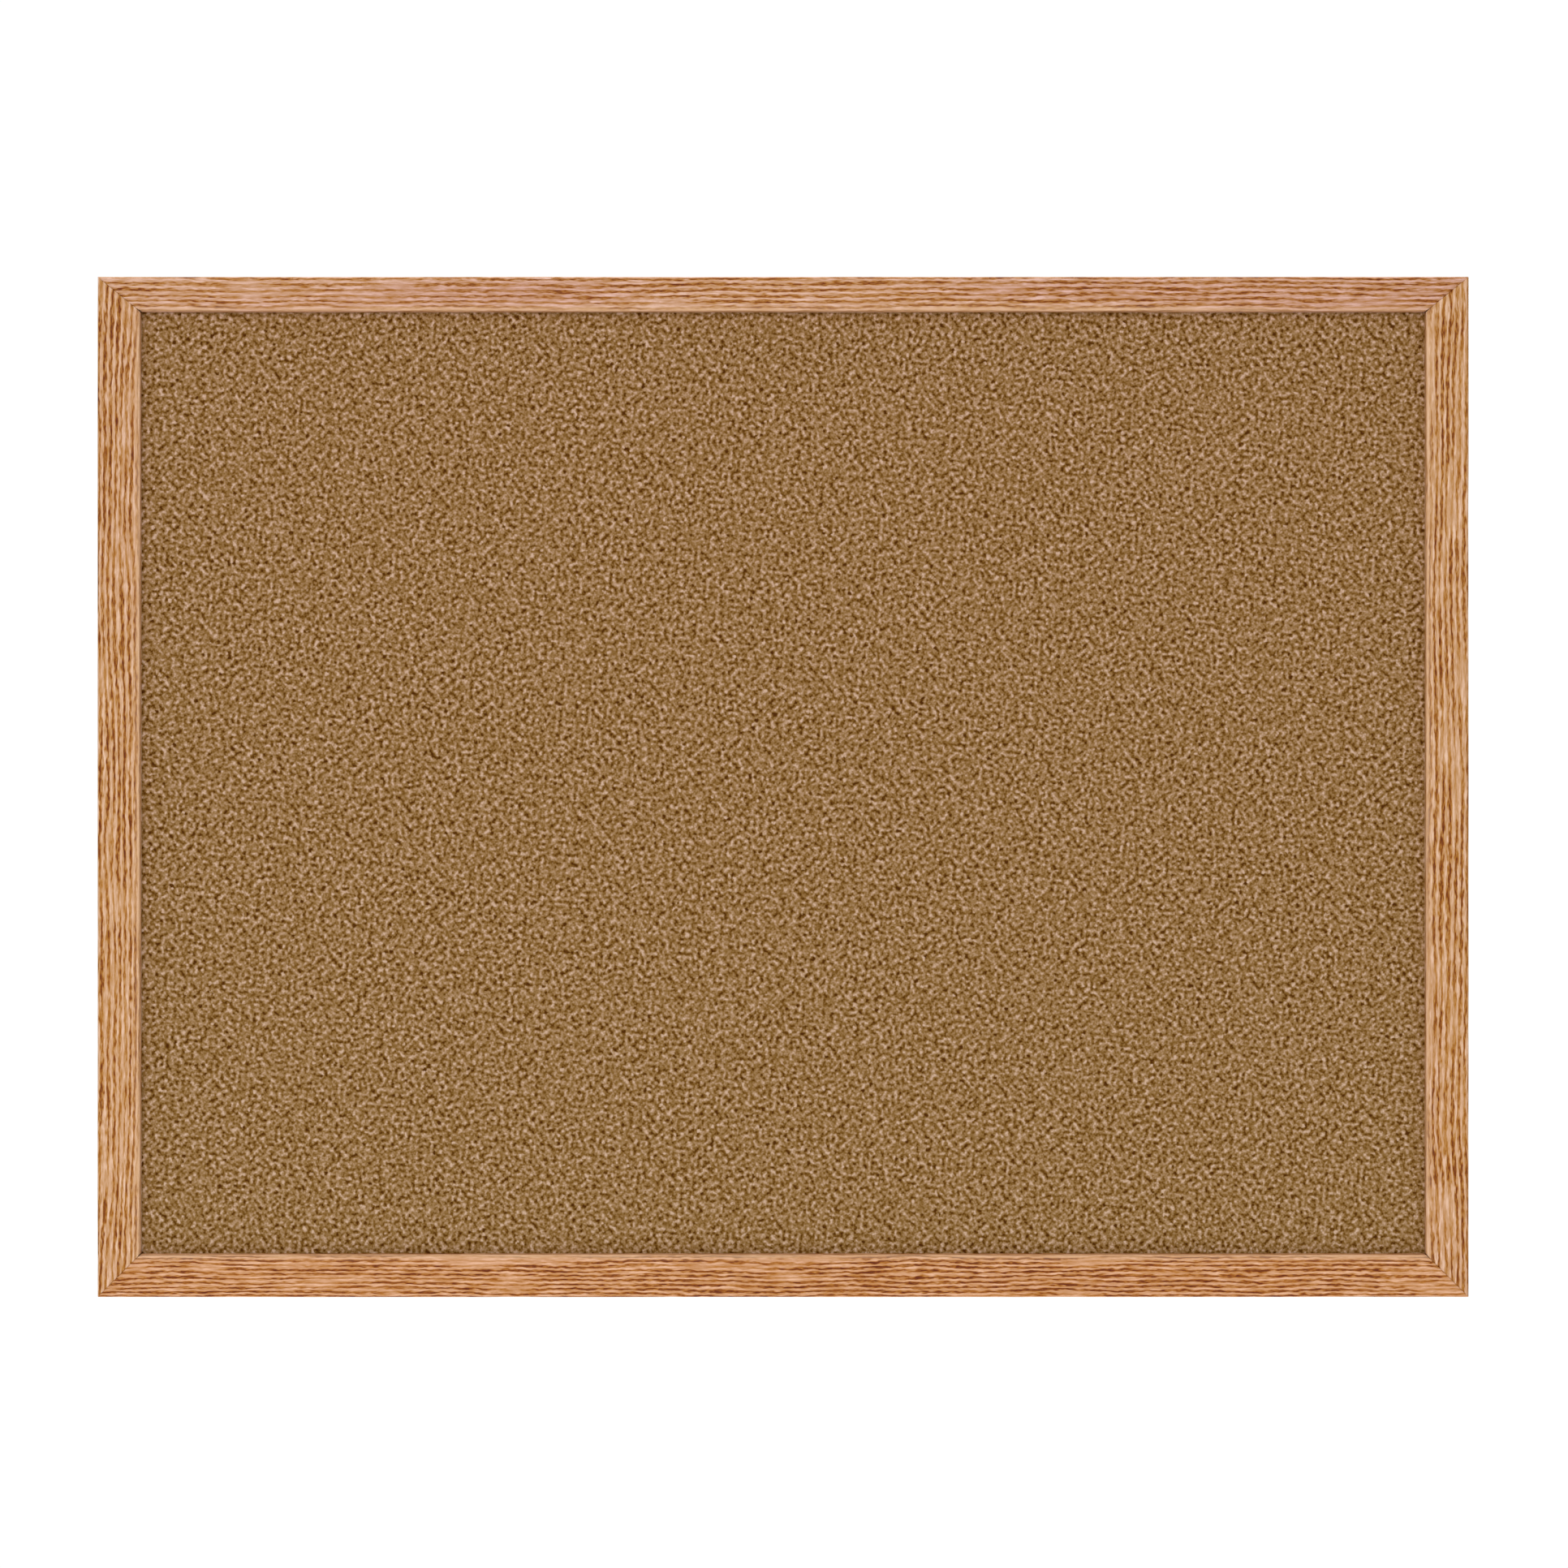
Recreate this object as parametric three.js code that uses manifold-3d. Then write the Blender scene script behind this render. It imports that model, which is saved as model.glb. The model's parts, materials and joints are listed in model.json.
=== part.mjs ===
// A framed cork bulletin board, 24 in wide, in millimetres with +Z up.
// Four mitred oak mouldings hold a cork-faced panel in their rebates, and the board hangs by two wire rings.
// The origin is the middle of the board on the wall plane: +Y points into the wall and +X to the viewer's right.
import * as THREE from "three";
import { mergeVertices } from "three/addons/utils/BufferGeometryUtils.js";
import Module from "manifold-3d";

const wasm = await Module();
wasm.setup();

const INCH = 25.4;

// The board and its mouldings. The top rail's face is narrower, and an 18 in board is shorter by as much.
const SIDE_FACE = 0.75 * INCH;
const TOP_FACE = 15.5;
const BOARD_WIDTH = 24 * INCH;
const BOARD_HEIGHT = 18 * INCH - (SIDE_FACE - TOP_FACE);
const RAIL_DEPTH = 0.75 * INCH;
const LIP_THICKNESS = 5;
const REBATE_WIDTH = 6.5;
const EDGE_ROUND = 1.6;
const BACK_CHAMFER = 0.6;
const MITRE_GAP = 0.3;
const FIT_GAP = 0.3;

// The panel, from its face to its back.
const CORK_THICKNESS = 3.2;
const CORE_THICKNESS = 6.4;
const LINER_THICKNESS = 0.4;
const GLUE_LINE = 0.2;
const PANEL_CLEARANCE = 1;

// The V-shaped nails that pull each mitre together, driven from the back with their points outwards.
const V_NAIL_HEIGHT = 10;
const V_NAIL_THICKNESS = 0.5;
const V_NAIL_ARM = { along: 2.5, across: 3.5 };
const V_NAILS_ALONG_MITRE = { outer: 5, inner: 11 };

// The flexible steel points that hold the panel in the rebate.
const POINT_WIDTH = 5.6;
const POINT_THICKNESS = 0.5;
const POINT_BITE = 6;
const POINT_LENGTH = 15.5;
const POINT_TAPER = 3.4;
const POINT_TAIL_ROUND = 1.6;
const POINTS_ALONG_RAIL = [-230, -80, 80, 230];
const POINTS_ALONG_STILE = [-120, 0, 120];

// The ring hangers, one on each stile.
const WALL_GAP = 4.8;
const HANGER_HEIGHT = 168;
const HANGER_INSET = 7.4;
const WIRE_RADIUS = 1;
const RING_HALF_WIDTH = 6;
const RING_CORNER = 1.5;
const RING_DROP = 10;
const RING_BUTT_GAP = 0.3;
const RING_REST_TILT = THREE.MathUtils.degToRad(6);
const RING_STEPS = 44;
const STRAP_WIDTH = 9;
const STRAP_LENGTH = 22;
const STRAP_THICKNESS = 0.8;
const STRAP_LAYER_GAP = 0.15;
const LOOP_RADIUS = WIRE_RADIUS + FIT_GAP;
const LOOP_CLOSE_ANGLE = -Math.PI / 3;
const SCREW_DROP = 16;
const SCREW_RADIUS = 1.5;
const SCREW_LENGTH = 12.5;
const SCREW_HEAD_RADIUS = 3.2;
const SCREW_HEAD_HEIGHT = 1.9;
const SCREW_RIM = 0.6;
const CROSS_SLOT = { length: 3.6, width: 0.85, depth: 1.2 };

// The rubber bumpers that keep the lower corners off the wall.
const BUMPER_RADIUS = 5;
const BUMPER_FLAT_RADIUS = 3.8;
const BUMPER_INSET = 34;

// Distances that follow from the sizes above.
const REBATE_DEPTH = RAIL_DEPTH - LIP_THICKNESS;
const CORK_FACE_Y = -(WALL_GAP + REBATE_DEPTH) + FIT_GAP;
const PANEL_THICKNESS = CORK_THICKNESS + CORE_THICKNESS + LINER_THICKNESS + 2 * GLUE_LINE;
const POINT_Y = -REBATE_DEPTH + FIT_GAP + PANEL_THICKNESS + FIT_GAP + POINT_THICKNESS / 2;
const LOOP_AXIS_Y = STRAP_THICKNESS + LOOP_RADIUS;
const STRAP_FRONT_Y = 2 * STRAP_THICKNESS + STRAP_LAYER_GAP;

const oak = new THREE.MeshStandardMaterial({ color: 0xc08f62, roughness: 0.5, metalness: 0 });
const cork = new THREE.MeshStandardMaterial({ color: 0x96714a, roughness: 0.95, metalness: 0 });
const fibreboard = new THREE.MeshStandardMaterial({ color: 0x8a6a48, roughness: 0.95, metalness: 0 });
const kraft = new THREE.MeshStandardMaterial({ color: 0xa8845a, roughness: 0.9, metalness: 0 });
const zincSteel = new THREE.MeshStandardMaterial({ color: 0xb4b6b8, roughness: 0.35, metalness: 1 });
const blueSteel = new THREE.MeshStandardMaterial({ color: 0x5b5f66, roughness: 0.45, metalness: 1 });
const rubber = new THREE.MeshStandardMaterial({ color: 0x2a2a2c, roughness: 0.8, metalness: 0 });

// A closed geometry as a solid that can be cut and joined.
function solidOf(geometry) {
  const bare = geometry.clone();
  bare.deleteAttribute("normal");
  bare.deleteAttribute("uv");
  const merged = mergeVertices(bare, 1e-4);
  return new wasm.Manifold(
    new wasm.Mesh({
      numProp: 3,
      vertProperties: merged.attributes.position.array,
      triVerts: new Uint32Array(merged.index.array),
    }),
  );
}

function geometryOf(solid) {
  const { vertProperties, triVerts } = solid.getMesh();
  const indexed = new THREE.BufferGeometry();
  indexed.setAttribute("position", new THREE.BufferAttribute(vertProperties, 3));
  indexed.setIndex(new THREE.BufferAttribute(triVerts, 1));
  const faceted = indexed.toNonIndexed();
  faceted.computeVertexNormals();
  return faceted;
}

function cut(geometry, cutters) {
  const left = cutters.reduce((solid, cutter) => solid.subtract(solidOf(cutter)), solidOf(geometry));
  return geometryOf(left);
}

function named(name, geometry, material) {
  const mesh = new THREE.Mesh(geometry, material);
  mesh.name = name;
  return mesh;
}

// Stands an outline drawn in X and Z up in that plane and gives it a thickness from y = 0 towards +Y.
function plateXZ(shape, thickness, curveSegments = 8) {
  const plate = new THREE.ExtrudeGeometry(shape, { depth: thickness, bevelEnabled: false, curveSegments });
  return plate.rotateX(Math.PI / 2).translate(0, thickness, 0);
}

// A moulding's section: x runs from the outer edge to the inner one, y from the back to the face.
function mouldingSection(face) {
  const section = new THREE.Shape();
  const roundAt = RAIL_DEPTH - EDGE_ROUND;
  const rebateAt = face - REBATE_WIDTH;
  section.moveTo(BACK_CHAMFER, 0);
  section.lineTo(rebateAt, 0);
  section.lineTo(rebateAt, REBATE_DEPTH);
  section.lineTo(face, REBATE_DEPTH);
  section.absarc(face - EDGE_ROUND, roundAt, EDGE_ROUND, 0, Math.PI / 2, false);
  section.absarc(EDGE_ROUND, roundAt, EDGE_ROUND, Math.PI / 2, Math.PI, false);
  section.lineTo(0, BACK_CHAMFER);
  section.closePath();
  return section;
}

// One moulding along X: its outer edge is on z = 0, its back on y = 0, and it faces -Y.
// Each mitre runs from the frame's outer corner to its inner one, so it depends on both faces that meet there.
function mitredMoulding({ length, face, faceBefore, faceAfter }) {
  const moulding = new THREE.ExtrudeGeometry(mouldingSection(face), {
    depth: length,
    bevelEnabled: false,
    curveSegments: 6,
  });
  const places = moulding.attributes.position;
  for (let i = 0; i < places.count; i++) {
    const atFarEnd = places.getZ(i) > length / 2;
    const neighbour = atFarEnd ? faceBefore : faceAfter;
    const gap = ((MITRE_GAP / 2) * Math.hypot(neighbour, face)) / face;
    const reach = length / 2 - (places.getX(i) * neighbour) / face - gap;
    places.setZ(i, atFarEnd ? reach : -reach);
  }
  const inwards = new THREE.Vector3(0, 0, -1);
  const forwards = new THREE.Vector3(0, -1, 0);
  const along = new THREE.Vector3(-1, 0, 0);
  return moulding.applyMatrix4(new THREE.Matrix4().makeBasis(inwards, forwards, along));
}

// A V-nail whose point is at the origin towards +X, with its arms behind and its top on y = 0.
// A slot for one is a nail grown by its clearance.
function vNail(grow = 0) {
  const half = V_NAIL_THICKNESS / 2 + grow;
  const slope = Math.atan2(V_NAIL_ARM.across, V_NAIL_ARM.along);
  const arm = new THREE.Vector2(-Math.cos(slope), Math.sin(slope));
  const outwards = new THREE.Vector2(Math.sin(slope), Math.cos(slope)).multiplyScalar(half);
  const end = new THREE.Vector2(-V_NAIL_ARM.along, V_NAIL_ARM.across).addScaledVector(arm, grow);
  const outerEnd = end.clone().add(outwards);
  const innerEnd = end.clone().sub(outwards);
  const tip = half / Math.sin(slope);
  const outline = new THREE.Shape();
  outline.moveTo(tip, 0);
  outline.lineTo(outerEnd.x, outerEnd.y);
  outline.lineTo(innerEnd.x, innerEnd.y);
  outline.lineTo(-tip, 0);
  outline.lineTo(innerEnd.x, -innerEnd.y);
  outline.lineTo(outerEnd.x, -outerEnd.y);
  outline.closePath();
  const depth = V_NAIL_HEIGHT + 2 * grow;
  return plateXZ(outline, depth).translate(0, grow - depth, 0);
}

// A flexible point: a flat steel tongue whose sharp end goes into the wood at z = 0 and whose tail runs to -Z.
function retainingPoint() {
  const half = POINT_WIDTH / 2;
  const tailEnd = POINT_BITE - POINT_LENGTH;
  const round = POINT_TAIL_ROUND;
  const outline = new THREE.Shape();
  outline.moveTo(0, POINT_BITE);
  outline.lineTo(-half, POINT_BITE - POINT_TAPER);
  outline.absarc(-half + round, tailEnd + round, round, Math.PI, 1.5 * Math.PI, false);
  outline.absarc(half - round, tailEnd + round, round, 1.5 * Math.PI, 2 * Math.PI, false);
  outline.lineTo(half, POINT_BITE - POINT_TAPER);
  outline.closePath();
  return plateXZ(outline, POINT_THICKNESS, 4).translate(0, -POINT_THICKNESS / 2, 0);
}

// The saw-thin pocket that a point's sharp end fills, open to the rebate.
function pointPocket() {
  const depth = POINT_BITE + 2 * FIT_GAP;
  const height = POINT_THICKNESS + 2 * FIT_GAP;
  return new THREE.BoxGeometry(POINT_WIDTH + 2 * FIT_GAP, height, depth).translate(0, 0, POINT_BITE / 2);
}

// A hanger's folded strip before its end is rounded and its hole is made.
function foldedStrip() {
  const outer = LOOP_RADIUS + STRAP_THICKNESS;
  const innerFront = STRAP_THICKNESS + STRAP_LAYER_GAP;
  const heading = new THREE.Vector2(Math.sin(LOOP_CLOSE_ANGLE), -Math.cos(LOOP_CLOSE_ANGLE));
  // Where the loop's straight end, which leaves a circle of this radius, meets the strip's flat front.
  const meets = (radius, y) => {
    const leaves = new THREE.Vector2(
      LOOP_AXIS_Y + radius * Math.cos(LOOP_CLOSE_ANGLE),
      radius * Math.sin(LOOP_CLOSE_ANGLE),
    );
    return leaves.addScaledVector(heading, (y - leaves.x) / heading.x);
  };
  const outerMeets = meets(outer, STRAP_FRONT_Y);
  const innerMeets = meets(LOOP_RADIUS, innerFront);
  const section = new THREE.Shape();
  section.moveTo(0, -STRAP_LENGTH);
  section.absarc(LOOP_AXIS_Y, 0, outer, Math.PI, LOOP_CLOSE_ANGLE, true);
  section.lineTo(outerMeets.x, outerMeets.y);
  section.lineTo(STRAP_FRONT_Y, -STRAP_LENGTH);
  section.lineTo(innerFront, -STRAP_LENGTH);
  section.lineTo(innerMeets.x, innerMeets.y);
  section.absarc(LOOP_AXIS_Y, 0, LOOP_RADIUS, LOOP_CLOSE_ANGLE, Math.PI, false);
  section.lineTo(STRAP_THICKNESS, -STRAP_LENGTH);
  section.closePath();
  const strip = new THREE.ExtrudeGeometry(section, {
    depth: STRAP_WIDTH,
    bevelEnabled: false,
    curveSegments: 16,
  });
  const towardsWall = new THREE.Vector3(0, 1, 0);
  const up = new THREE.Vector3(0, 0, 1);
  const across = new THREE.Vector3(1, 0, 0);
  strip.applyMatrix4(new THREE.Matrix4().makeBasis(towardsWall, up, across));
  return strip.translate(-STRAP_WIDTH / 2, 0, 0);
}

// A hanger's strap in its own frame: the wood is y = 0, the wall is towards +Y, and the ring's axis is z = 0.
function hangerStrap() {
  const reach = 4 * (LOOP_RADIUS + STRAP_THICKNESS);
  const half = STRAP_WIDTH / 2;
  const outline = new THREE.Shape();
  outline.moveTo(half, reach);
  outline.lineTo(-half, reach);
  outline.absarc(0, half - STRAP_LENGTH, half, Math.PI, 2 * Math.PI, false);
  outline.closePath();
  const rounded = plateXZ(outline, 2 * reach, 12).translate(0, -reach, 0);
  const hole = new THREE.CylinderGeometry(SCREW_RADIUS + FIT_GAP, SCREW_RADIUS + FIT_GAP, 2 * reach, 20);
  hole.translate(0, 0, -SCREW_DROP);
  return geometryOf(solidOf(foldedStrip()).intersect(solidOf(rounded)).subtract(solidOf(hole)));
}

// A D-shaped ring of bent wire, hanging from its straight leg on the X axis, with its butt joint in that leg.
function hangerRing() {
  const corner = RING_HALF_WIDTH - RING_CORNER;
  const bow = RING_HALF_WIDTH - RING_DROP;
  const butt = RING_BUTT_GAP / 2;
  const bend = new THREE.Path();
  bend.moveTo(butt, 0);
  bend.absarc(corner, -RING_CORNER, RING_CORNER, Math.PI / 2, 0, true);
  bend.absarc(0, bow, RING_HALF_WIDTH, 0, -Math.PI, true);
  bend.absarc(-corner, -RING_CORNER, RING_CORNER, Math.PI, Math.PI / 2, true);
  bend.lineTo(-butt, 0);
  const line = new THREE.CurvePath();
  const places = bend.getSpacedPoints(RING_STEPS).map((p) => new THREE.Vector3(p.x, 0, p.y));
  places.slice(1).forEach((place, i) => line.add(new THREE.LineCurve3(places[i], place)));
  const section = new THREE.Shape().absarc(0, 0, WIRE_RADIUS, 0, 2 * Math.PI, false);
  return new THREE.ExtrudeGeometry(section, { extrudePath: line, steps: RING_STEPS, curveSegments: 5 });
}

// A pan-head screw: the underside of its head is y = 0 and its point goes to -Y.
function panHeadScrew() {
  const profile = new THREE.Path();
  profile.moveTo(0, -SCREW_LENGTH);
  profile.lineTo(SCREW_RADIUS, 2 * SCREW_RADIUS - SCREW_LENGTH);
  profile.lineTo(SCREW_RADIUS, 0);
  profile.lineTo(SCREW_HEAD_RADIUS, 0);
  profile.lineTo(SCREW_HEAD_RADIUS, SCREW_RIM);
  profile.quadraticCurveTo(SCREW_HEAD_RADIUS, SCREW_HEAD_HEIGHT, 0, SCREW_HEAD_HEIGHT);
  const turned = new THREE.LatheGeometry(profile.getPoints(5), 20);
  const { length, width, depth } = CROSS_SLOT;
  const slots = [
    [length, width],
    [width, length],
  ].map(([x, z]) => new THREE.BoxGeometry(x, 2 * depth, z).translate(0, SCREW_HEAD_HEIGHT, 0));
  return cut(turned, slots);
}

function pilotHole() {
  const radius = SCREW_RADIUS + FIT_GAP;
  return new THREE.CylinderGeometry(radius, radius, 2 * SCREW_LENGTH, 16);
}

// A stick-on bumper from the wood to the wall plane, which is y = 0.
function wallBumper() {
  const profile = new THREE.Path();
  profile.moveTo(0, FIT_GAP - WALL_GAP);
  profile.lineTo(BUMPER_RADIUS, FIT_GAP - WALL_GAP);
  profile.quadraticCurveTo(BUMPER_RADIUS, 0, BUMPER_FLAT_RADIUS, 0);
  profile.lineTo(0, 0);
  return new THREE.LatheGeometry(profile.getPoints(5), 24);
}

// A whole hanger, with its ring resting against the strap.
function hanger(side) {
  const group = new THREE.Group();
  const ring = named(`hanger_ring_${side}`, hangerRing(), zincSteel);
  ring.position.y = LOOP_AXIS_Y;
  ring.rotation.x = RING_REST_TILT;
  const screw = named(`hanger_screw_${side}`, panHeadScrew(), zincSteel);
  screw.position.set(0, STRAP_FRONT_Y + FIT_GAP, -SCREW_DROP);
  group.add(named(`hanger_strap_${side}`, hangerStrap(), zincSteel), ring, screw);
  return group;
}

function panelLayer(name, thickness, faceY, material) {
  const width = BOARD_WIDTH - 2 * (SIDE_FACE - REBATE_WIDTH + PANEL_CLEARANCE);
  const top = BOARD_HEIGHT / 2 - (TOP_FACE - REBATE_WIDTH + PANEL_CLEARANCE);
  const bottom = (SIDE_FACE - REBATE_WIDTH + PANEL_CLEARANCE) - BOARD_HEIGHT / 2;
  const layer = named(name, new THREE.BoxGeometry(width, thickness, top - bottom), material);
  layer.position.set(0, faceY + thickness / 2, (top + bottom) / 2);
  return layer;
}

const board = new THREE.Group();

// The four sides clockwise from the top, each in a group whose +X end meets the next side.
const clockwise = ["top", "right", "bottom", "left"];
const isRail = (side) => side === "top" || side === "bottom";
const faceOf = (side) => (side === "top" ? TOP_FACE : SIDE_FACE);
const sides = clockwise.map((side, i) => {
  const turn = (i * Math.PI) / 2;
  const reach = isRail(side) ? BOARD_HEIGHT / 2 : BOARD_WIDTH / 2;
  const group = new THREE.Group();
  group.position.set(reach * Math.sin(turn), -WALL_GAP, reach * Math.cos(turn));
  group.rotation.y = turn;
  board.add(group);
  return {
    side,
    group,
    turn,
    next: clockwise[(i + 1) % clockwise.length],
    length: isRail(side) ? BOARD_WIDTH : BOARD_HEIGHT,
    face: faceOf(side),
    faceBefore: faceOf(clockwise.at(i - 1)),
    faceAfter: faceOf(clockwise[(i + 1) % clockwise.length]),
    slots: [],
  };
});

// The nails stand on the line of each mitre, and both sides that meet there are slotted for them.
sides.forEach(({ side, next, group, length, face, faceAfter, slots }, i) => {
  const corner = isRail(side) ? `${side}_${next}` : `${next}_${side}`;
  const inwards = new THREE.Vector2(faceAfter, face).normalize();
  for (const [where, distance] of Object.entries(V_NAILS_ALONG_MITRE)) {
    const nail = named(`v_nail_${corner}_${where}`, vNail(), blueSteel);
    nail.position.set(length / 2 - distance * inwards.x, 0, -distance * inwards.y);
    nail.rotation.y = -inwards.angle();
    group.add(nail);
    board.updateMatrixWorld(true);
    const after = sides[(i + 1) % sides.length];
    const toAfter = after.group.matrixWorld.clone().invert().multiply(nail.matrixWorld);
    slots.push(vNail(FIT_GAP).applyMatrix4(nail.matrix));
    after.slots.push(vNail(FIT_GAP).applyMatrix4(toAfter));
  }
});

// The points that hold the panel are driven sideways into each rebate's wall.
for (const { side, group, face, slots } of sides) {
  const rebateAt = face - REBATE_WIDTH;
  const along = isRail(side) ? POINTS_ALONG_RAIL : POINTS_ALONG_STILE;
  along.forEach((x, i) => {
    const point = named(`retaining_point_${side}_${i + 1}`, retainingPoint(), blueSteel);
    point.position.set(x, POINT_Y, -rebateAt);
    group.add(point);
    slots.push(pointPocket().translate(x, POINT_Y, -rebateAt));
  });
}

// One hanger on each stile, near its top, always the same way up.
for (const { side, group, turn, slots } of sides.filter((entry) => !isRail(entry.side))) {
  const upwards = side === "left" ? 1 : -1;
  const upright = new THREE.Group();
  upright.position.set(upwards * HANGER_HEIGHT, FIT_GAP, -HANGER_INSET);
  upright.rotation.y = -turn;
  upright.add(hanger(side));
  group.add(upright);
  slots.push(pilotHole().translate(upwards * (HANGER_HEIGHT - SCREW_DROP), 0, -HANGER_INSET));
}

for (const entry of sides) {
  const name = isRail(entry.side) ? `${entry.side}_rail` : `${entry.side}_stile`;
  entry.group.add(named(name, cut(mitredMoulding(entry), entry.slots), oak));
}

// The panel's three layers, glued to each other.
const coreFaceY = CORK_FACE_Y + CORK_THICKNESS + GLUE_LINE;
const linerFaceY = coreFaceY + CORE_THICKNESS + GLUE_LINE;
board.add(
  panelLayer("cork_sheet", CORK_THICKNESS, CORK_FACE_Y, cork),
  panelLayer("fibreboard_core", CORE_THICKNESS, coreFaceY, fibreboard),
  panelLayer("kraft_liner", LINER_THICKNESS, linerFaceY, kraft),
);

// The bumpers sit in the middle of the bottom rail's back, near its ends.
const bumperHeight = (SIDE_FACE - REBATE_WIDTH) / 2 - BOARD_HEIGHT / 2;
for (const [side, x] of [["left", -1], ["right", 1]]) {
  const bumper = named(`wall_bumper_${side}`, wallBumper(), rubber);
  bumper.position.set(x * (BOARD_WIDTH / 2 - BUMPER_INSET), 0, bumperHeight);
  board.add(bumper);
}

export default board;
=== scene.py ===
import json
import math

import bmesh
import bpy
import numpy as np
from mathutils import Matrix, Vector
from mathutils.kdtree import KDTree


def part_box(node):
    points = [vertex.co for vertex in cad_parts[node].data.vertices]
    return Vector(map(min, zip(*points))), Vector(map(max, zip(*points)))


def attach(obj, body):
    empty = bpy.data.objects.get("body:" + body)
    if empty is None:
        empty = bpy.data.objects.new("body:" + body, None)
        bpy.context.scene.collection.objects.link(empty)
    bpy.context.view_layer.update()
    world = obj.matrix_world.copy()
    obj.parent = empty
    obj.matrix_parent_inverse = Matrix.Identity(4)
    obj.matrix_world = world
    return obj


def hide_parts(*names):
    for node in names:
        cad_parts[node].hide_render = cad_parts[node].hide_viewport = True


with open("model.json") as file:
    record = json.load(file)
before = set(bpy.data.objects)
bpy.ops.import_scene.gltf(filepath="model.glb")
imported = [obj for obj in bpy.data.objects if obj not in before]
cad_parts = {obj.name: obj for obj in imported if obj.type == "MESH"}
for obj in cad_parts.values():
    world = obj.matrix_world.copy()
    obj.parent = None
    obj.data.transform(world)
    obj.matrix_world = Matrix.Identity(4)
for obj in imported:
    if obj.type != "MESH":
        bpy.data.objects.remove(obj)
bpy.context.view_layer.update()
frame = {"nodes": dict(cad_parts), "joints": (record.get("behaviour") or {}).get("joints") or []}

MM = 0.001

# The moulding's section, as the CAD has it.
LIP_THICKNESS = 5 * MM
REBATE_WIDTH = 6.5 * MM
EDGE_ROUND = 1.6 * MM
BACK_CHAMFER = 0.6 * MM

# What the wood has on top of that: tight mitres with broken edges, open pores, a hand-sanded waviness and a
# painted highlight, a lighter band along the inner edge. Its mesh has a ring of points every STATION_PITCH.
MITRE_GAP = 0.05 * MM
MITRE_EASE = 0.22 * MM
PORE_DEPTH = 0.12 * MM
WAVINESS = 0.05 * MM
HIGHLIGHT_REACH = 1.7 * MM
STATION_PITCH = 1.5 * MM

# The room round each fastener, and how much deeper the hanger screws are driven than in the CAD.
SLOT_CLEARANCE = 0.3 * MM
SCREW_PULL = 0.26 * MM

# The hanger ring: its wire's radius, the radius of its two corners, its height, half the gap in its
# straight leg, and how far it leans from the wall when it hangs.
WIRE_RADIUS = 1 * MM
RING_CORNER = 1.5 * MM
RING_DROP = 10 * MM
RING_BUTT = 0.15 * MM
RING_TILT = math.radians(6)

# The spacing of the grids that the cork's and the paper's reliefs are sampled on.
CORK_GRID = 1.62 * MM
PAPER_GRID = 4 * MM

# How far each kind of CAD shape has its edges rounded.
CORE_EDGE = 0.3 * MM
STRAP_EDGE = 0.14 * MM
SCREW_EDGE = 0.1 * MM
FASTENER_EDGE = 0.08 * MM

SIDES = ("top", "right", "bottom", "left")
NODE_OF_SIDE = {"top": "top_rail", "right": "right_stile", "bottom": "bottom_rail", "left": "left_stile"}

# How each moulding's figure differs: the seed of its noises, the growth rings' spacing and wandering in mm,
# how dark their open pores are, how pink its pinkest wood is, and the colour that it is tinted with.
STILE_FIGURE = {"pitch": 2.7, "wander": 3.0, "pores": 0.85, "pink": 0.2, "tint": (254, 251, 241)}
FIGURE = {
    "top": {
        "seed": 11, "pitch": 2.6, "wander": 1.8, "pores": 0.75, "pink": 0.6, "tint": (251, 245, 248)
    },
    "right": {**STILE_FIGURE, "seed": 23},
    "bottom": {
        "seed": 37, "pitch": 2.1, "wander": 1.6, "pores": 1.05, "pink": 0.15, "tint": (254, 238, 220)
    },
    "left": {**STILE_FIGURE, "seed": 51, "pitch": 2.6},
}

# The studio, in metres and watts: each lamp's place, the point it faces, its diameter and its power; how
# bright the white surroundings are as a light and as a backdrop; and the floor.
LAMPS = {
    "key": ((-0.6, -2.9, 0.9), (0, 0, 0), 2.4, 30),
    "overhead": ((0, 0.9, 2.6), (0, 0.3, -0.5), 3.0, 65),
    "behind": ((1.6, 2.6, 1.2), (0, 0, 0), 1.8, 22),
}
FILL_STRENGTH = 0.62
BACKDROP_STRENGTH = 1.03
FLOOR_Z = -0.55
FLOOR_HALF = 1.1

# The camera: its lens and sensor in mm, the width that it sees at the board's front, and its place.
LENS = 100
SENSOR = 36
WIDTH_SEEN = 696.6 * MM
CAMERA_X = 0.4 * MM
CAMERA_Z = 1.3 * MM

BACK_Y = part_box("top_rail")[1].y
FRONT_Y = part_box("top_rail")[0].y
DEPTH = BACK_Y - FRONT_Y
HALF_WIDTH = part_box("right_stile")[1].x
HALF_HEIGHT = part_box("top_rail")[1].z
FASTENERS = sorted(
    n for n in frame["nodes"] if n.startswith(("v_nail", "retaining_point", "hanger_screw"))
)


# ---------------------------------------------------------------- noise and meshes


def smooth_noise(u, v, seed):
    """Smooth noise from -1 to 1 at points u, v, with features about one unit across."""
    table = np.random.default_rng(seed).uniform(-1, 1, (256, 256))
    iu = np.floor(u).astype(int)
    iv = np.floor(v).astype(int)
    fu = u - iu
    fv = v - iv
    fu = fu * fu * (3 - 2 * fu)
    fv = fv * fv * (3 - 2 * fv)

    def corner(du, dv):
        return table[(iu + du) % 256, (iv + dv) % 256]

    low = corner(0, 0) * (1 - fu) + corner(1, 0) * fu
    high = corner(0, 1) * (1 - fu) + corner(1, 1) * fu
    return low * (1 - fv) + high * fv


def ramp(value, start, end):
    """0 below start, 1 above end and smooth between."""
    share = np.clip((value - start) / (end - start), 0, 1)
    return share * share * (3 - 2 * share)


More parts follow.
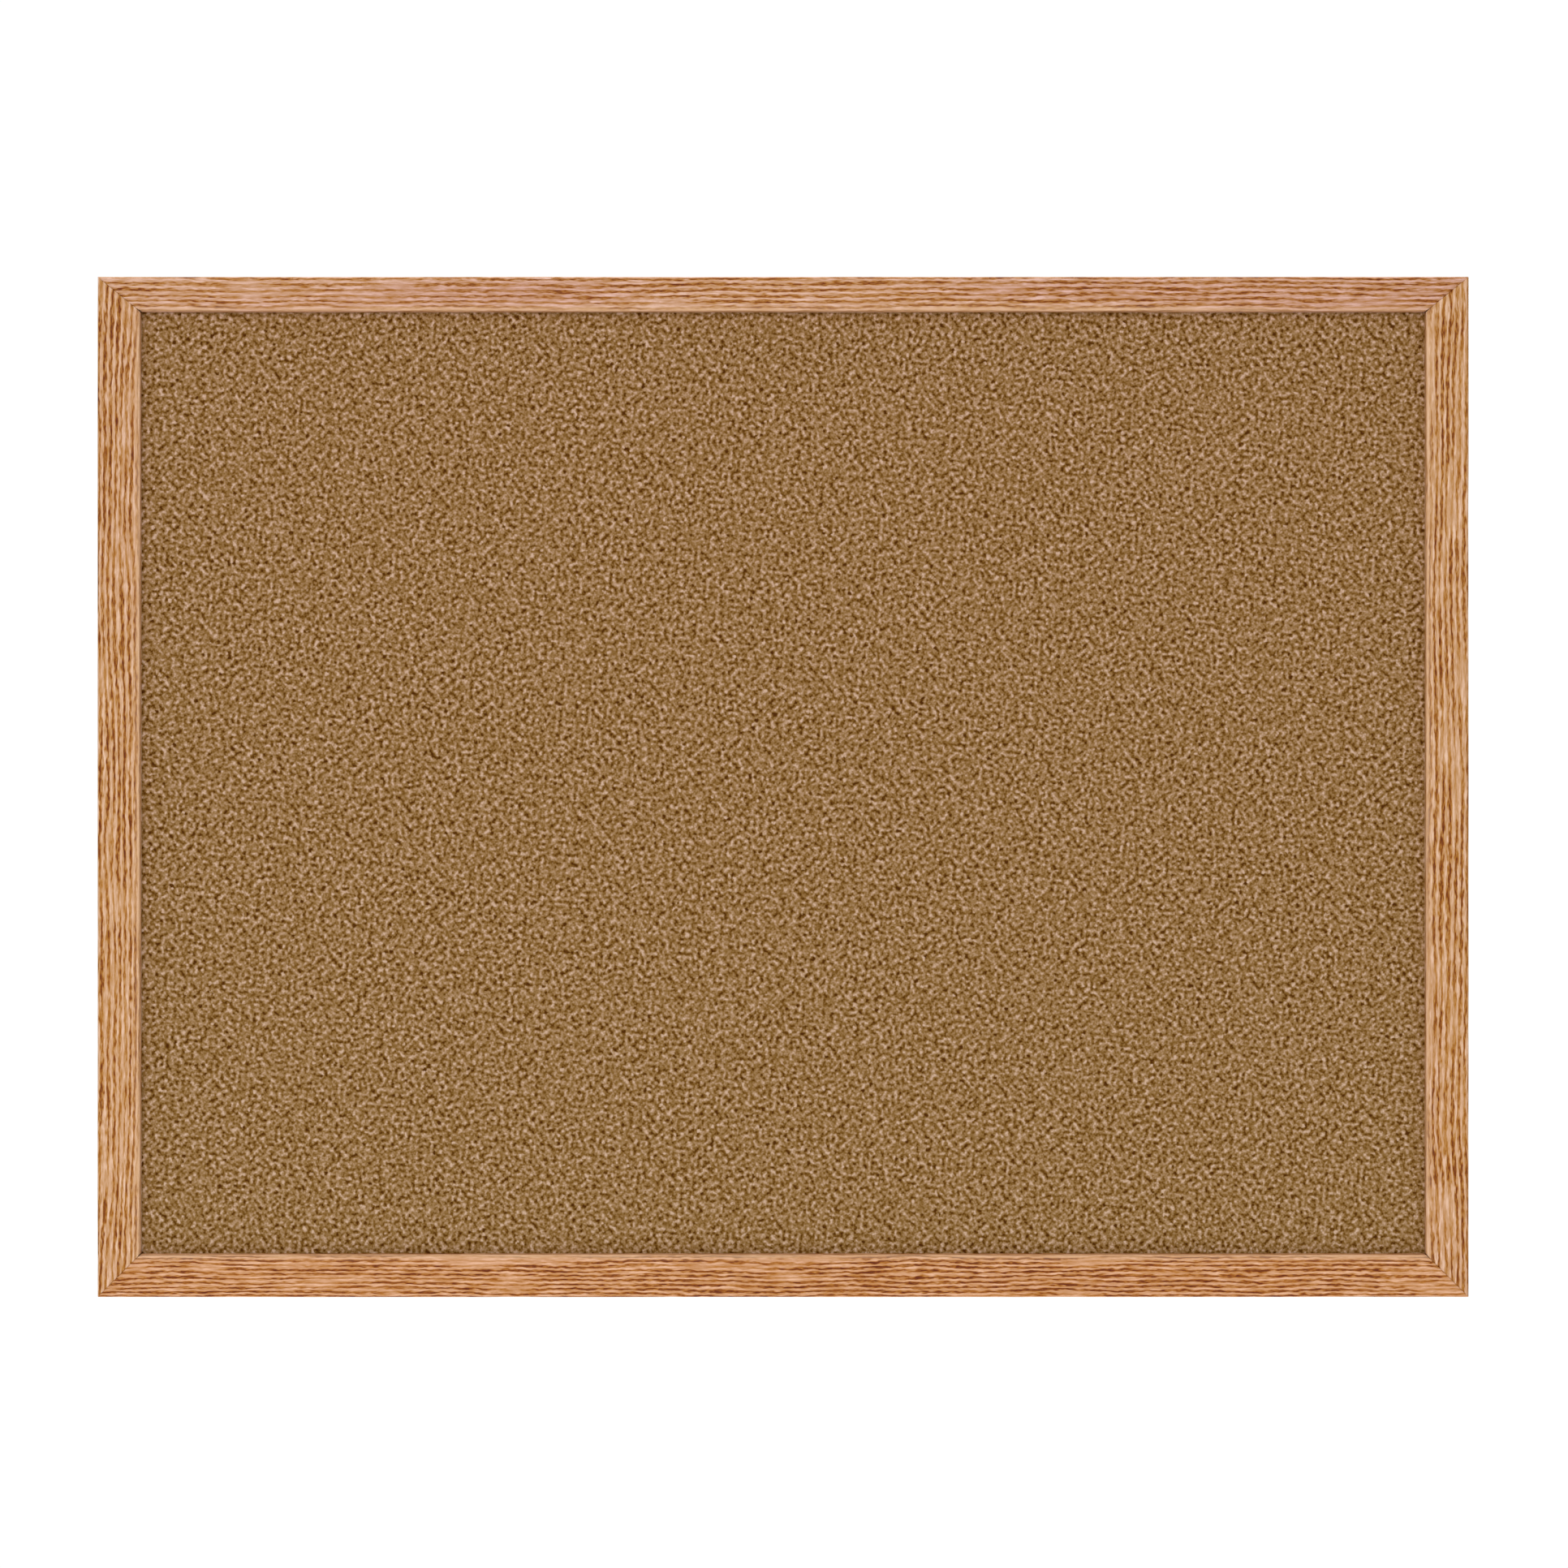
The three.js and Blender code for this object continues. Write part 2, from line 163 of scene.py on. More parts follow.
def shade_smooth(mesh, sharp_angle=40):
    """Smooth shading, with a crease wherever two faces meet at more than sharp_angle degrees."""
    mesh.polygons.foreach_set("use_smooth", np.ones(len(mesh.polygons), bool))
    mesh.set_sharp_from_angle(angle=math.radians(sharp_angle))


def piece_from(name, vertices, faces, material, sharp_angle=40):
    """A new object with one material, from plain lists of vertices and faces."""
    mesh = bpy.data.meshes.new(name)
    mesh.from_pydata([tuple(v) for v in vertices], [], faces)
    mesh.validate()
    mesh.materials.append(material)
    shade_smooth(mesh, sharp_angle)
    piece = bpy.data.objects.new(name, mesh)
    bpy.context.scene.collection.objects.link(piece)
    return piece


def stands_for(piece, body="board", nodes=()):
    """Puts a piece on a body and hides the CAD nodes that it replaces."""
    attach(piece, body)
    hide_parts(*nodes)
    return piece


def apply_modifiers(piece):
    """Gives a piece the mesh that its modifiers make."""
    bpy.context.view_layer.update()
    shown = piece.evaluated_get(bpy.context.evaluated_depsgraph_get())
    mesh = bpy.data.meshes.new_from_object(shown)
    piece.modifiers.clear()
    piece.data = mesh


def cad_copy(node):
    """A CAD node's mesh as a bmesh, with the vertices that its faces share joined and flat faces whole."""
    made = bmesh.new()
    made.from_mesh(frame["nodes"][node].data)
    bmesh.ops.remove_doubles(made, verts=made.verts, dist=0.002 * MM)
    bmesh.ops.dissolve_limit(
        made, angle_limit=math.radians(1), verts=made.verts, edges=made.edges
    )
    return made


def refined(node, material, edge):
    """A CAD node of the board with its edges rounded and its curved faces smooth."""
    made = cad_copy(node)
    mesh = bpy.data.meshes.new(node + "_piece")
    made.to_mesh(mesh)
    made.free()
    mesh.materials.clear()
    mesh.materials.append(material)
    piece = bpy.data.objects.new(node + "_piece", mesh)
    bpy.context.scene.collection.objects.link(piece)
    bevel = piece.modifiers.new("rounded_edges", "BEVEL")
    bevel.width = edge
    bevel.segments = 2
    bevel.limit_method = "ANGLE"
    bevel.angle_limit = math.radians(35)
    apply_modifiers(piece)
    shade_smooth(piece.data, 50)
    return stands_for(piece, nodes=[node])


def move_vertices(piece, shift):
    for vertex in piece.data.vertices:
        vertex.co += Vector(shift)


# ---------------------------------------------------------------- materials


def linear(red, green, blue):
    """An 0 to 255 sRGB colour as Blender's linear one."""

    def channel(c):
        c = c / 255
        return c / 12.92 if c <= 0.04045 else ((c + 0.055) / 1.055) ** 2.4

    return (channel(red), channel(green), channel(blue), 1.0)


def feed(tree, socket, value):
    """Links a socket to another node's output, or sets it to a plain value."""
    if isinstance(value, bpy.types.NodeSocket):
        tree.links.new(value, socket)
    else:
        socket.default_value = value


def add(tree, kind, properties=None, **inputs):
    """A new node, its properties set and its inputs fed. An input's name has _ for each space."""
    made = tree.nodes.new(kind)
    for name, value in (properties or {}).items():
        setattr(made, name, value)
    for name, value in inputs.items():
        feed(tree, made.inputs[name.replace("_", " ")], value)
    return made


def calculate(tree, operation, *values, kind="ShaderNodeMath"):
    """The result of one operation on numbers, or on vectors with kind ShaderNodeVectorMath."""
    made = tree.nodes.new(kind)
    made.operation = operation
    for socket, value in zip(made.inputs, values):
        feed(tree, socket, value)
    return made.outputs[0]


def mix_colours(tree, blend, factor, first, second):
    made = tree.nodes.new("ShaderNodeMix")
    made.data_type = "RGBA"
    made.blend_type = blend
    colours = [socket for socket in made.inputs if socket.type == "RGBA"]
    for socket, value in zip((made.inputs[0], *colours), (factor, first, second)):
        feed(tree, socket, value)
    return next(socket for socket in made.outputs if socket.type == "RGBA")


def colour_ramp(tree, factor, stops):
    """stops is [(position, linear colour), ...]."""
    made = tree.nodes.new("ShaderNodeValToRGB")
    elements = made.color_ramp.elements
    while len(elements) < len(stops):
        elements.new(0.5)
    for element, (position, colour) in zip(elements, stops):
        element.position = position
        element.color = colour
    tree.links.new(factor, made.inputs[0])
    return made.outputs[0]


def millimetres(tree, stretch=(1, 1, 1), offset=(0, 0, 0)):
    """The place in millimetres, stretched along each axis."""
    place = add(tree, "ShaderNodeTexCoord").outputs["Object"]
    scale = tuple(s / MM for s in stretch)
    return add(tree, "ShaderNodeMapping", Vector=place, Scale=scale, Location=offset).outputs[0]


def turned_flat(tree, degrees):
    """The place on the board's front in millimetres, turned by an angle."""
    place = add(tree, "ShaderNodeTexCoord").outputs["Object"]
    laid = add(
        tree, "ShaderNodeMapping", Vector=place, Rotation=(math.pi / 2, 0, 0), Scale=(1 / MM,) * 3
    )
    turned = add(
        tree, "ShaderNodeMapping", Vector=laid.outputs[0], Rotation=(0, 0, math.radians(degrees))
    )
    return turned.outputs[0]


def noise(tree, place, scale, detail=2.0, roughness=0.5, distortion=0.0):
    made = add(
        tree,
        "ShaderNodeTexNoise",
        Vector=place,
        Scale=scale,
        Detail=detail,
        Roughness=roughness,
        Distortion=distortion,
    )
    return made.outputs[0]


def new_material(name, **sockets):
    """A material, its node tree and its shader, with some of the shader's own sockets set."""
    material = bpy.data.materials.new(name)
    material.use_nodes = True
    tree = material.node_tree
    shader = tree.nodes["Principled BSDF"]
    for socket, value in sockets.items():
        shader.inputs[socket.replace("_", " ")].default_value = value
    return material, tree, shader


def bump(tree, shader, height, distance, strength=1.0):
    made = add(tree, "ShaderNodeBump", Height=height, Distance=distance, Strength=strength)
    tree.links.new(made.outputs[0], shader.inputs["Normal"])


def oak_material(side):
    """Red oak under a satin varnish: rows of dark pores along the rings that the mesh carries."""
    figure = FIGURE[side]
    material, tree, shader = new_material(f"oak_{side}", IOR=1.5, Specular_IOR_Level=0.2)
    ring = add(tree, "ShaderNodeAttribute", {"attribute_name": "ring"}).outputs["Fac"]
    pores = add(tree, "ShaderNodeAttribute", {"attribute_name": "pores"}).outputs["Fac"]
    tone = add(tree, "ShaderNodeAttribute", {"attribute_name": "tone"}).outputs["Fac"]

    def grained(lengthwise, crosswise, detail, roughness):
        """Noise whose features are lengthwise by crosswise mm."""
        stretch = [1 / crosswise] * 3
        stretch[0 if is_rail(side) else 2] = 1 / lengthwise
        return noise(tree, millimetres(tree, stretch, (figure["seed"], 0, 0)), 1.0, detail, roughness)

    ripple = calculate(tree, "SUBTRACT", grained(5, 1.4, 1.0, 0.5), 0.5)
    rippled = calculate(tree, "MULTIPLY_ADD", ripple, 0.95, ring)
    wave = calculate(tree, "COSINE", calculate(tree, "MULTIPLY", rippled, 2 * math.pi))
    row = calculate(tree, "POWER", calculate(tree, "MULTIPLY_ADD", wave, 0.5, 0.5), 1.4)
    breaks = grained(3.5, 0.7, 4.0, 0.65)
    dashes = calculate(tree, "MULTIPLY_ADD", breaks, 2.4, -0.2)
    dark = calculate(tree, "MULTIPLY", calculate(tree, "MULTIPLY", row, pores), dashes)
    fibres = grained(9, 0.8, 4.0, 0.6)
    vessels = add(tree, "ShaderNodeMapRange", Value=grained(3.0, 0.2, 2.0, 0.6), From_Min=0.4, From_Max=0.6)
    opened = calculate(tree, "MULTIPLY_ADD", vessels.outputs[0], 1.0, 0.55)
    dark = calculate(tree, "MULTIPLY", dark, opened)
    value = calculate(tree, "MULTIPLY_ADD", dark, 0.72, 0.27)
    value = calculate(tree, "MULTIPLY_ADD", wave, 0.07, value)
    value = calculate(tree, "MULTIPLY_ADD", calculate(tree, "SUBTRACT", fibres, 0.5), 1.45, value)
    colour = colour_ramp(
        tree,
        calculate(tree, "MULTIPLY", value, 0.8),
        [
            (0.0, linear(238, 202, 180)),
            (0.12, linear(222, 181, 153)),
            (0.24, linear(207, 162, 125)),
            (0.36, linear(197, 148, 101)),
            (0.48, linear(187, 132, 65)),
            (0.58, linear(173, 113, 32)),
            (0.68, linear(158, 92, 8)),
            (0.8, linear(138, 66, 2)),
            (1.0, linear(106, 42, 1)),
        ],
    )
    pink = mix_colours(tree, "MULTIPLY", tone, colour, linear(246, 236, 255))
    tinted = mix_colours(tree, "MULTIPLY", 1.0, pink, linear(*figure["tint"]))
    # The lighter band along the inner edge is a painted highlight, standing in for light catching the
    # rounded edge.
    painted_edge_highlight = add(tree, "ShaderNodeAttribute", {"attribute_name": "painted_edge_highlight"}).outputs["Fac"]
    highlighted = mix_colours(tree, "MIX", painted_edge_highlight, tinted, linear(232, 190, 150))
    tree.links.new(highlighted, shader.inputs["Base Color"])
    rough = calculate(tree, "MULTIPLY_ADD", fibres, 0.22, 0.36)
    tree.links.new(rough, shader.inputs["Roughness"])
    height = calculate(tree, "MULTIPLY_ADD", value, -1.0, 1.0)
    bump(tree, shader, height, 0.08 * MM)
    return material


def cork_material():
    """Pressed cork granules, 2 to 3 mm across: pale faces, brown bark and small dark gaps."""
    material, tree, shader = new_material("cork_granules", Roughness=0.92, Specular_IOR_Level=0.1)
    face = turned_flat(tree, 40)
    in_2d = {"noise_dimensions": "2D"}
    ragged = add(tree, "ShaderNodeTexNoise", in_2d, Vector=face, Scale=1.3, Detail=2.0)
    pushed = calculate(
        tree, "SUBTRACT", ragged.outputs["Color"], (0.5, 0.5, 0.5), kind="ShaderNodeVectorMath"
    )
    outline = calculate(
        tree, "MULTIPLY_ADD", pushed, (0.9, 0.9, 0.9), face, kind="ShaderNodeVectorMath"
    )

    def granules(feature):
        """The cells of the pattern, a little over 1 mm apart, with a ragged outline."""
        kind = {"voronoi_dimensions": "2D", "feature": feature}
        return add(tree, "ShaderNodeTexVoronoi", kind, Vector=outline, Scale=0.85).outputs

    tones = add(
        tree,
        "ShaderNodeTexGabor",
        {"gabor_type": "2D"},
        Vector=granules("F1")["Position"],
        Scale=0.25,
        Frequency=1.62,
        Anisotropy=0.0,
    )
    packed = add(tree, "ShaderNodeTexNoise", in_2d, Vector=face, Scale=0.54, Detail=1.0, Roughness=0.4)
    gaps = granules("DISTANCE_TO_EDGE")["Distance"]
    seam = add(tree, "ShaderNodeMapRange", Value=gaps, From_Min=0.0, From_Max=0.12)
    grit = noise(tree, millimetres(tree), 3.2, 3.0, 0.65)
    value = calculate(tree, "MULTIPLY", tones.outputs["Value"], 0.4)
    value = calculate(tree, "MULTIPLY_ADD", packed.outputs[0], 0.6, value)
    value = calculate(tree, "MULTIPLY_ADD", calculate(tree, "SUBTRACT", grit, 0.5), 0.2, value)
    value = calculate(tree, "MULTIPLY_ADD", calculate(tree, "SUBTRACT", seam.outputs[0], 0.8), 0.08, value)
    colour = colour_ramp(
        tree,
        calculate(tree, "MULTIPLY_ADD", value, 2.6, -0.8),
        [
            (0.0, linear(80, 40, 2)),
            (0.16, linear(109, 69, 15)),
            (0.27, linear(125, 86, 33)),
            (0.38, linear(139, 101, 51)),
            (0.5, linear(151, 114, 69)),
            (0.62, linear(163, 127, 87)),
            (0.74, linear(176, 140, 106)),
            (0.86, linear(190, 154, 126)),
            (1.0, linear(210, 176, 152)),
        ],
    )
    # A faint painted shade: the cork is darker and a little greener towards the bottom.
    up = add(tree, "ShaderNodeSeparateXYZ", Vector=millimetres(tree)).outputs["Z"]
    height = add(tree, "ShaderNodeMapRange", Value=up, From_Min=-200.0, From_Max=200.0).outputs[0]
    drift = colour_ramp(tree, height, [(0.0, linear(250, 253, 250)), (1.0, linear(255, 254, 255))])
    with_painted_shade = mix_colours(tree, "MULTIPLY", 1.0, colour, drift)
    tree.links.new(with_painted_shade, shader.inputs["Base Color"])
    bump(tree, shader, value, 0.3 * MM, 0.9)
    return material


def fibreboard_material():
    material, tree, shader = new_material("wood_fibreboard", Roughness=0.95)
    fibres = noise(tree, millimetres(tree, (1, 1, 0.4)), 1.2, 4.0, 0.65, 1.5)
    colour = colour_ramp(
        tree, fibres, [(0.3, linear(110, 84, 56)), (0.5, linear(140, 110, 76)), (0.7, linear(166, 136, 98))]
    )
    tree.links.new(colour, shader.inputs["Base Color"])
    bump(tree, shader, fibres, 0.2 * MM)
    return material


def kraft_material():
    """Brown kraft paper with its long fibres, faint machine lines and small dark specks."""
    material, tree, shader = new_material("kraft_paper", IOR=1.45)
    fibres = noise(tree, millimetres(tree, (0.25, 1, 1)), 2.4, 4.0, 0.6, 0.8)
    clouds = noise(tree, millimetres(tree), 0.035, 3.0, 0.5)
    lines = noise(tree, millimetres(tree, (1, 1, 0.002)), 0.35, 2.0, 0.5)
    value = calculate(tree, "MULTIPLY_ADD", clouds, 0.16, calculate(tree, "MULTIPLY", fibres, 0.7))
    value = calculate(tree, "MULTIPLY_ADD", lines, 0.14, value)
    colour = colour_ramp(
        tree,
        value,
        [
            (0.3, linear(144, 108, 70)),
            (0.5, linear(176, 139, 97)),
            (0.7, linear(203, 168, 126)),
        ],
    )
    specks = noise(tree, millimetres(tree), 2.4, 0.0)
    dark = add(tree, "ShaderNodeMapRange", Value=specks, From_Min=0.2, From_Max=0.16, To_Max=0.5)
    colour = mix_colours(tree, "MULTIPLY", dark.outputs[0], colour, linear(140, 110, 80))
    tree.links.new(colour, shader.inputs["Base Color"])
    rough = calculate(tree, "MULTIPLY_ADD", fibres, 0.2, 0.62)
    tree.links.new(rough, shader.inputs["Roughness"])
    bump(tree, shader, value, 0.05 * MM)
    return material


def steel_material(name, bright, dull, brush, rough_low, rough_high):
    """Sheet or wire steel: cloudy plating, fine rolling lines and scattered scuffs."""
    material, tree, shader = new_material(name, Metallic=1.0)
    clouds = noise(tree, millimetres(tree), 0.45, 3.0, 0.6)
    lines = noise(tree, millimetres(tree, brush), 3.0, 3.0, 0.6)
    colour = colour_ramp(tree, clouds, [(0.35, dull), (0.62, bright)])
    tree.links.new(colour, shader.inputs["Base Color"])
    mixed = calculate(tree, "MULTIPLY_ADD", clouds, 0.6, calculate(tree, "MULTIPLY", lines, 0.4))
    rough = calculate(tree, "MULTIPLY_ADD", mixed, rough_high - rough_low, rough_low)
    tree.links.new(rough, shader.inputs["Roughness"])
    bump(tree, shader, lines, 0.01 * MM)
    return material


def rubber_material():
    material, tree, shader = new_material("bumper_rubber", IOR=1.52)
    grain = noise(tree, millimetres(tree), 5.0, 3.0, 0.6)
    dust = noise(tree, millimetres(tree), 0.6, 3.0, 0.6)
    colour = colour_ramp(tree, dust, [(0.4, linear(38, 38, 40)), (0.7, linear(66, 64, 62))])
    tree.links.new(colour, shader.inputs["Base Color"])
    rough = calculate(tree, "MULTIPLY_ADD", dust, 0.3, 0.55)
    tree.links.new(rough, shader.inputs["Roughness"])
    bump(tree, shader, grain, 0.03 * MM)
    return material


# ---------------------------------------------------------------- the oak frame


def section_points(face):
    """Points round a moulding's section, each as its distance inward from the outer edge, its distance
    forward from the back, its outward normal and how much relief the wood's surface has there."""
    rebate_at = face - REBATE_WIDTH
    rebate_depth = DEPTH - LIP_THICKNESS
    points = []

    def line(start, end, pitch, normal, worked):
        start = np.array(start)
        end = np.array(end)
        steps = max(1, round(np.linalg.norm(end - start) / pitch))
        for i in range(steps):
            points.append((*(start + (end - start) * i / steps), *normal, worked))

    def arc(centre, from_angle, to_angle, steps):
        for i in range(steps):
            angle = from_angle + (to_angle - from_angle) * i / steps
            normal = np.array((math.cos(angle), math.sin(angle)))
            points.append((*(np.array(centre) + EDGE_ROUND * normal), *normal, 1.0))

    line((0, BACK_CHAMFER), (0, DEPTH - EDGE_ROUND), 0.8 * MM, (-1, 0), 1.0)
    arc((EDGE_ROUND, DEPTH - EDGE_ROUND), math.pi, math.pi / 2, 8)
    line((EDGE_ROUND, DEPTH), (face - EDGE_ROUND, DEPTH), 0.42 * MM, (0, 1), 1.0)
    arc((face - EDGE_ROUND, DEPTH - EDGE_ROUND), math.pi / 2, 0, 8)
    line((face, DEPTH - EDGE_ROUND), (face, rebate_depth), 0.7 * MM, (1, 0), 1.0)
    line((face, rebate_depth), (rebate_at, rebate_depth), 2.2 * MM, (0, -1), 0.0)
    line((rebate_at, rebate_depth), (rebate_at, 0), 2.4 * MM, (1, 0), 0.0)
    line((rebate_at, 0), (BACK_CHAMFER, 0), 1.0 * MM, (0, -1), 0.3)
    line((BACK_CHAMFER, 0), (0, BACK_CHAMFER), BACK_CHAMFER, (-0.7, -0.7), 0.3)
    return np.array(points)


def oak_figure(along, across, side):
    """(ring, pores, tone) at places in mm: a count of growth rings, how open each ring's pores are there,
    and how pink the wood is."""
    figure = FIGURE[side]
    seed = figure["seed"]
    drift = smooth_noise(along / 130, across / 25, seed) * figure["wander"]
    drift = drift + 1.05 * smooth_noise(along / 30, across / 8, seed + 1)
    ring = (across + drift) / figure["pitch"]
    openness = smooth_noise(along / 17, ring * 0.95, seed + 2)
    openness = openness + 0.6 * smooth_noise(along / 45, ring * 0.8, seed + 3)
    pores = figure["pores"] * ramp(openness, -1.5, 0.5)
    tone = figure["pink"] * ramp(smooth_noise(along / 120, across / 12, seed + 4), -0.1, 0.9)
    return ring, pores, tone


def stations_along(index, inward):
    """How far along a moulding each point of each ring round its section lies, in metres. The rings lean
    towards the mitres at both ends, and the last but one stands back from the mitre to break its edge."""
    side = SIDES[index]
    face = face_width(side)
    half_length = HALF_WIDTH if is_rail(side) else HALF_HEIGHT

    def end(neighbour):
        gap = MITRE_GAP / 2 * math.hypot(face_width(neighbour), face) / face
        return half_length - inward * face_width(neighbour) / face - gap

    stations = round(2 * half_length / STATION_PITCH)
    share = np.linspace(-1, 1, stations)[:, None]
    before = end(SIDES[index - 1])
    after = end(SIDES[(index + 1) % len(SIDES)])
    along = np.where(share < 0, share * before, share * after)
    along[1] = along[0] + MITRE_EASE
    along[-2] = along[-1] - MITRE_EASE
    return along


def placed(index, along, inward, forward):
    """The board's own coordinates of places on one moulding, whose sides go clockwise from the top."""
    turn = index * math.pi / 2
    outward_axis = np.array((math.sin(turn), 0, math.cos(turn)))
    along_axis = np.array((math.cos(turn), 0, -math.sin(turn)))
    reach = HALF_HEIGHT if is_rail(SIDES[index]) else HALF_WIDTH
    origin = outward_axis * reach + np.array((0, BACK_Y, 0))
    return (
        origin
        + along[..., None] * along_axis
        - inward[..., None] * outward_axis
        + forward[..., None] * np.array((0, -1, 0))
    )


def tube_faces(stations, count):
    """The faces of a closed tube: count points in each ring, and a face over each end."""
    faces = [
        (s * count + a, s * count + (a + 1) % count, (s + 1) * count + (a + 1) % count, (s + 1) * count + a)
        for s in range(stations - 1)
        for a in range(count)
    ]
    faces.append(tuple(range(count))[::-1])
    faces.append(tuple((stations - 1) * count + a for a in range(count)))
    return faces


def cut_slots(piece, cutters):
    cut = piece.modifiers.new("fastener_slots", "BOOLEAN")
    cut.operation = "DIFFERENCE"
    cut.solver = "EXACT"
    cut.object = cutters
    apply_modifiers(piece)
    shade_smooth(piece.data)


def oak_moulding(index, cutters):
    """One mitred moulding with eased edges and its open grain standing a little below the surface."""
    side = SIDES[index]
    face = face_width(side)
    section = section_points(face)
    inward, forward, normal_in, normal_out, worked = section.T
    steps = np.diff(np.vstack([section[:, :2], section[:1, :2]]), axis=0)
    across = np.concatenate([[0], np.cumsum(np.linalg.norm(steps, axis=1))[:-1]]) / MM
    along = stations_along(index, inward)
    across = np.broadcast_to(across, along.shape)

    rings, pores, tone = oak_figure(along / MM, across, side)
    groove = -PORE_DEPTH * pores * ramp(np.cos(2 * math.pi * rings), -0.2, 1)
    sanding = WAVINESS * (smooth_noise(along / (40 * MM), across / 9, 90 + index) - 1)
    lift = (groove + sanding) * worked
    lift[[0, -1]] -= MITRE_EASE * worked
    points = placed(index, along, inward + normal_in * lift, forward + normal_out * lift).reshape(-1, 3)
    faces = tube_faces(*along.shape)
    piece = piece_from(NODE_OF_SIDE[side] + "_oak", points, faces, oak_material(side))
    make_outward(piece.data)
    cut_slots(piece, cutters)

    # A painted highlight: the wood is lightened along the inner edge, where light would catch its rounding.
    from_inner_edge = np.hypot(inward - face, forward - DEPTH)
    highlight_strength = 0.65 + 0.3 * smooth_noise(along / (14 * MM), across / 2, 70 + index)
    painted_edge_highlight = highlight_strength * np.exp(-((from_inner_edge / HIGHLIGHT_REACH) ** 2))
    carry(piece.data, points, {"ring": rings, "pores": pores, "tone": tone, "painted_edge_highlight": painted_edge_highlight})
    return stands_for(piece, nodes=[NODE_OF_SIDE[side]])


def is_rail(side):
    return side in ("top", "bottom")


def face_width(side):
    low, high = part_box(NODE_OF_SIDE[side])
    return high.z - low.z if is_rail(side) else high.x - low.x


def carry(mesh, points, fields):
    """Stores values that are known at points as attributes of a mesh whose vertices lie on or among them.
    Each vertex takes the mean of the four nearest points, with nearer ones counting for more."""
    tree = KDTree(len(points))
    for number, point in enumerate(points):
        tree.insert(point, number)
    tree.balance()
    found = [tree.find_n(vertex.co, 4) for vertex in mesh.vertices]
    nearest = np.array([[number for _, number, _ in near] for near in found])
    distance = np.array([[away for _, _, away in near] for near in found])
    weight = (distance + 0.001 * MM) ** -2
    weight /= weight.sum(axis=1, keepdims=True)
    for name, values in fields.items():
        attribute = mesh.attributes.new(name, "FLOAT", "POINT")
        blended = (values.ravel()[nearest] * weight).sum(axis=1)
        attribute.data.foreach_set("value", blended.astype(np.float32))


def make_outward(mesh):
    """Turns every face's front outwards."""
    made = bmesh.new()
    made.from_mesh(mesh)
    bmesh.ops.recalc_face_normals(made, faces=made.faces)
    made.to_mesh(mesh)
    made.free()


def fastener_cutters():
    """Every fastener grown by its clearance, as one object that cuts the mouldings."""
    joined = bmesh.new()
    for node in FASTENERS:
        made = cad_copy(node)
        made.normal_update()
        moves = [(v, v.normal * v.calc_shell_factor() * SLOT_CLEARANCE) for v in made.verts]
        for vertex, move in moves:
            vertex.co += move
        mesh = bpy.data.meshes.new("grown")
        made.to_mesh(mesh)
        made.free()
        joined.from_mesh(mesh)
        bpy.data.meshes.remove(mesh)
    mesh = bpy.data.meshes.new("cutters")
    joined.to_mesh(mesh)
    joined.free()
    cutters = bpy.data.objects.new("cutters", mesh)
    bpy.context.scene.collection.objects.link(cutters)
    return cutters


# ---------------------------------------------------------------- the panel


def sheet_piece(name, node, pitch, front_lift, material, back_lift=None):
    """A rectangular sheet whose front, and back if it is asked for, has a relief over a fine grid."""
    low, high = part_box(node)
    columns = round((high.x - low.x) / pitch) + 1
    rows = round((high.z - low.z) / pitch) + 1
    x, z = np.meshgrid(np.linspace(low.x, high.x, columns), np.linspace(low.z, high.z, rows))
    front = np.stack([x, low.y - front_lift(x, z), z], axis=-1).reshape(-1, 3)
    index = np.arange(rows * columns).reshape(rows, columns)
    quads = np.stack([index[:-1, :-1], index[:-1, 1:], index[1:, 1:], index[1:, :-1]], axis=-1)
    faces = [tuple(q) for q in quads.reshape(-1, 4).tolist()]
    vertices = [front]
    rim = np.concatenate([index[0, :-1], index[:-1, -1], index[-1, :0:-1], index[:0:-1, 0]])
    count = index.size
    if back_lift:
        back = np.stack([x, high.y + back_lift(x, z), z], axis=-1).reshape(-1, 3)
        vertices.append(back)
        faces += [tuple(int(i) + count for i in reversed(q)) for q in quads.reshape(-1, 4).tolist()]
        back_rim = rim + count
    else:
        back = front[rim].copy()
        back[:, 1] = high.y
        vertices.append(back)
        back_rim = np.arange(len(rim)) + count
        faces.append(tuple(int(i) for i in back_rim[::-1]))
    for i in range(len(rim)):
        j = (i + 1) % len(rim)
        faces.append((int(rim[j]), int(rim[i]), int(back_rim[i]), int(back_rim[j])))
    return piece_from(name, np.concatenate(vertices), faces, material)


def cork_relief(x, z):
    """Granules lie within a quarter of a millimetre, and here and there one has dropped out."""
    u = x / MM
    v = z / MM
    granules = 0.07 * smooth_noise(u / 2.2, v / 2.2, 301) + 0.05 * smooth_noise(u / 4.7, v / 4.7, 302)
    pits = -0.35 * ramp(smooth_noise(u / 2.6, v / 2.6, 303), 0.78, 0.95)
    return (granules - 0.12 + pits) * MM


def paper_ripple(x, z):
    """Paper lies in slow swells, a tenth or two of a millimetre high."""
    u = x / MM
    v = z / MM
    return 0.09 * MM * (smooth_noise(u / 70, v / 45, 401) + 0.5 * smooth_noise(u / 24, v / 19, 402) + 0.6)


def flat(x, z):
    return 0 * x


def panel():
    """The cork, the board that pins go into and the paper behind it."""
    cork = sheet_piece("cork_face", "cork_sheet", CORK_GRID, cork_relief, cork_material())
    stands_for(cork, nodes=["cork_sheet"])
    liner = sheet_piece("kraft_backing", "kraft_liner", PAPER_GRID, flat, kraft_material(), paper_ripple)
    stands_for(liner, nodes=["kraft_liner"])
    refined("fibreboard_core", fibreboard_material(), CORE_EDGE)


# ---------------------------------------------------------------- hangers, fasteners and bumpers


